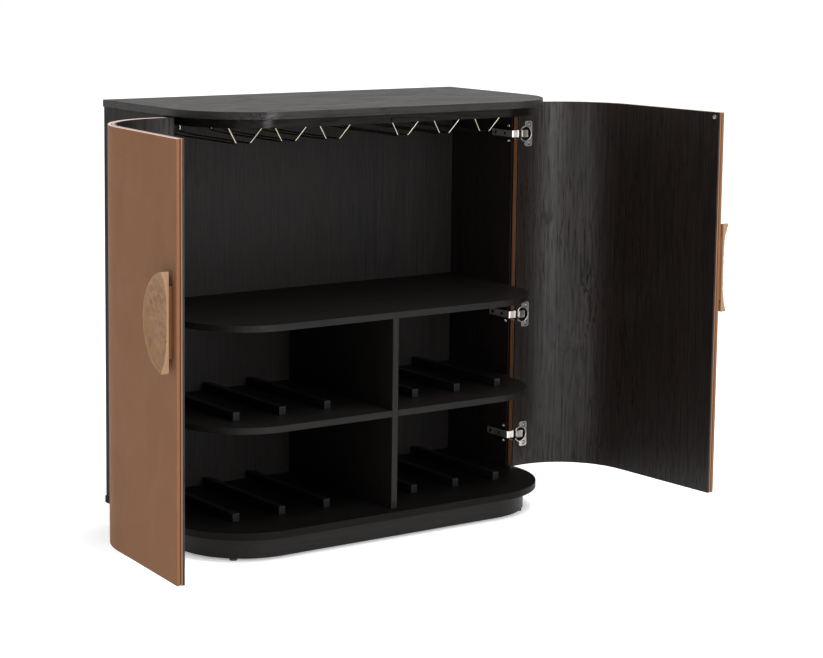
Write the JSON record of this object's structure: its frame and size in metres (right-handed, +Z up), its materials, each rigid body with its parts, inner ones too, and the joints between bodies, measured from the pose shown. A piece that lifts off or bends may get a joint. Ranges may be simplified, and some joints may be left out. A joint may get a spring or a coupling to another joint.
{
  "type": "bar cabinet",
  "caption": "Bar cabinet in dark wood with rounded front corners, two curved leather-clad doors, half-disc handles, a hanging stemware rack and shelves with bottle rests.",
  "frame": {"origin": "the middle of the cabinet's footprint on the floor: the flat underside of the centre glide, under the middle of the top slab", "axes": "+X to the cabinet's right as seen from the front, +Y towards its back, +Z up. The doors open towards -Y."},
  "size_m": [1.5236, 0.7704, 1.005],
  "materials": {
    "top_wood": "dark grey-brown oak veneer, satin",
    "dark_wood": "dark oak veneer, satin",
    "black_bar": "black stained bar, satin",
    "leather": "smooth tan-brown leather",
    "light_wood": "light carved wood, satin",
    "brass": "polished",
    "nickel": "nickel-plated",
    "magnet": "dark housing",
    "glide": "matt black"
  },
  "bodies": {
    "carcass": {"top_slab": "top_wood", "sub_top": "dark_wood", "left_side_panel": "dark_wood", "right_side_panel": "dark_wood", "back_panel": "dark_wood", "base_slab": "dark_wood", "plinth": "dark_wood", "plinth_brace": "dark_wood", "middle_shelf": "dark_wood", "lower_shelf_left": "dark_wood", "lower_shelf_right": "dark_wood", "divider": "dark_wood", "glide_front_left": "glide", "glide_front_right": "glide", "glide_rear_left": "glide", "glide_rear_right": "glide", "glide_centre": "glide", "bottle_rest_low_1": "black_bar", "bottle_rest_low_2": "black_bar", "bottle_rest_low_3": "black_bar", "bottle_rest_low_4": "black_bar", "bottle_rest_low_5": "black_bar", "bottle_rest_low_6": "black_bar", "bottle_rest_high_1": "black_bar", "bottle_rest_high_2": "black_bar", "bottle_rest_high_3": "black_bar", "bottle_rest_high_4": "black_bar", "bottle_rest_high_5": "black_bar", "bottle_rest_high_6": "black_bar", "rack_wire_1": "brass", "rack_wire_2": "brass", "rack_wire_3": "brass", "rack_wire_4": "brass", "rack_wire_5": "brass", "rack_wire_6": "brass", "rack_wire_7": "brass", "rack_wire_8": "brass", "magnet_catch": "magnet", "left_hinge_arm_low": "nickel", "left_hinge_arm_middle": "nickel", "left_hinge_arm_high": "nickel", "right_hinge_arm_low": "nickel", "right_hinge_arm_middle": "nickel", "right_hinge_arm_high": "nickel"},
    "left_door": {"left_door_leather_board": "leather", "left_door_inner_panel": "dark_wood", "left_door_handle": "light_wood", "left_door_handle_spacer": "light_wood", "left_door_strike": "nickel", "left_door_hinge_cup_low": "nickel", "left_door_hinge_cup_middle": "nickel", "left_door_hinge_cup_high": "nickel"},
    "right_door": {"right_door_leather_board": "leather", "right_door_inner_panel": "dark_wood", "right_door_handle": "light_wood", "right_door_handle_spacer": "light_wood", "right_door_strike": "nickel", "right_door_hinge_cup_low": "nickel", "right_door_hinge_cup_middle": "nickel", "right_door_hinge_cup_high": "nickel"}
  },
  "joints": [
    {"name": "left_door_hinge", "type": "hinge", "parent": "carcass", "child": "left_door", "pos_m": [-0.492, -0.04, 0.5], "axis": [0, 0, 1], "range_deg": [-9.75, 95.25]},
    {"name": "right_door_hinge", "type": "hinge", "parent": "carcass", "child": "right_door", "pos_m": [0.492, -0.04, 0.5], "axis": [0, 0, 1], "range_deg": [-92.87, 12.13]}
  ]
}
